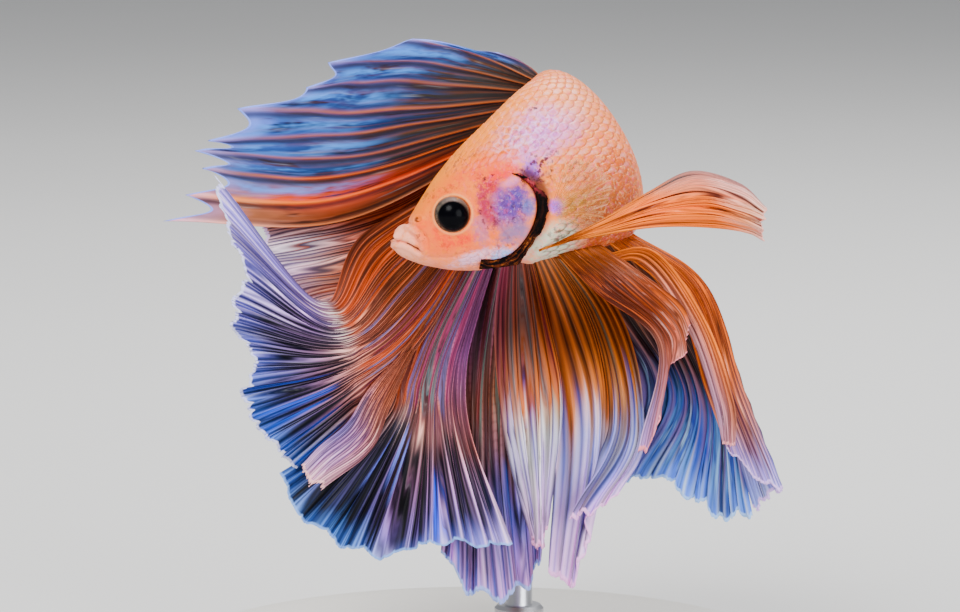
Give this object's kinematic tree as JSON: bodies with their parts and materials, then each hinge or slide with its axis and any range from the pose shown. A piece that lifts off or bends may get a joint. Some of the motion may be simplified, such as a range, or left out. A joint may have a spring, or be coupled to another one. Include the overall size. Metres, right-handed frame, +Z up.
{
  "type": "betta fish",
  "caption": "Life-size still model of a long-finned betta fish in a tight turn with fins spread, on a round stand.",
  "frame": {"origin": "centre of the underside of the round stand base", "axes": "+Z up; -Y towards the viewer, who sees the fish's left flank; the fish faces -X"},
  "size_m": [0.054, 0.054, 0.057],
  "materials": {
    "skin": "wet peach-orange scaled skin with a pink and lilac sheen",
    "eye": "glossy, black pupil, thin silver-gold iris",
    "gill_flap": "dark brown-black skin flap with gold specks",
    "clear_fin": "clear membrane with fine pale rays",
    "dorsal_fin": "steel-blue membrane with copper-orange rays",
    "caudal_fin": "orange to lilac and deep blue, branching rays, pale margin",
    "anal_fin": "orange rays, blue and lilac margin",
    "pelvic_fin": "orange ribbon with pale edge",
    "stand_base": "satin warm-white acrylic",
    "stand_rod": "brushed steel rod"
  },
  "bodies": {
    "root": {"eye_left": "eye", "eye_right": "eye", "head": "skin", "trunk_front": "skin", "trunk_bend": "skin", "tail_stem": "skin", "gill_flap_left": "gill_flap", "gill_flap_right": "gill_flap", "pectoral_fin_left": "clear_fin", "pectoral_fin_right": "clear_fin", "dorsal_fin": "dorsal_fin", "caudal_fin_flap": "caudal_fin", "caudal_fin_upper": "caudal_fin", "caudal_fin_tongue": "caudal_fin", "caudal_fin_middle": "caudal_fin", "caudal_fin_pleat": "caudal_fin", "caudal_fin_lower": "caudal_fin", "caudal_fin_back": "caudal_fin", "anal_fin_front": "anal_fin", "anal_fin_bend": "anal_fin", "anal_fin_rear": "anal_fin", "pelvic_fin_left": "pelvic_fin", "pelvic_fin_right": "pelvic_fin", "stand_base": "stand_base", "stand_rod": "stand_rod"}
  },
  "joints": []
}
